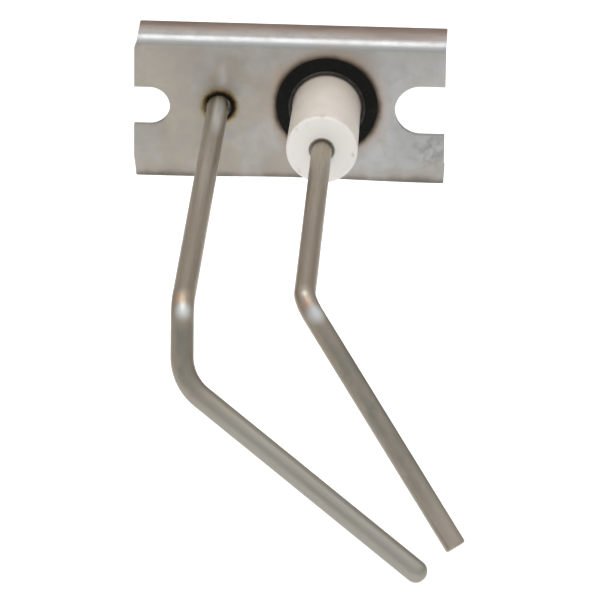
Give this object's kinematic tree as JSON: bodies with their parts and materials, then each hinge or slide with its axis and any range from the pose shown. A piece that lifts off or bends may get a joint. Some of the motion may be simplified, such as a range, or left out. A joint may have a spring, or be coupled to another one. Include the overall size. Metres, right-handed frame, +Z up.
{
  "type": "ignition electrode",
  "caption": "Spark electrode in a ceramic insulator beside a welded earth rod, both bent to a spark gap, on a notched steel channel bracket.",
  "frame": {"origin": "on the insulator's axis, in the plane of the bracket's front face", "axes": "+Y along the insulator's axis to the rear and out of the terminal, -Y towards the rods' tips, +X along the bracket to its wider notch, +Z up across the bracket"},
  "size_m": [0.0506, 0.1134, 0.0434],
  "materials": {
    "bracket_steel": "mill-finish stainless sheet, satin, faintly mottled, with heat tint around the welds",
    "insulator_ceramic": "cream-white fired ceramic, smooth matt to satin, with grey scuffs on its front rim",
    "ferrule_steel": "turned steel, darkened by heat",
    "weld_oxide": "black to brown weld oxide, semi-matt",
    "cement": "grey-brown refractory cement, matt",
    "rod_alloy": "drawn heat-resistant alloy rod, warm grey-brown with long faint streaks",
    "terminal_nickel": "nickel-plated turned steel, satin"
  },
  "bodies": {
    "root": {"bracket": "bracket_steel", "insulator": "insulator_ceramic", "ferrule": "ferrule_steel", "ferrule_weld": "weld_oxide", "ferrule_cement": "cement", "bore_cement": "cement", "spark_rod": "rod_alloy", "terminal_pin": "terminal_nickel", "earth_rod": "rod_alloy", "earth_rod_weld": "weld_oxide"}
  },
  "joints": []
}
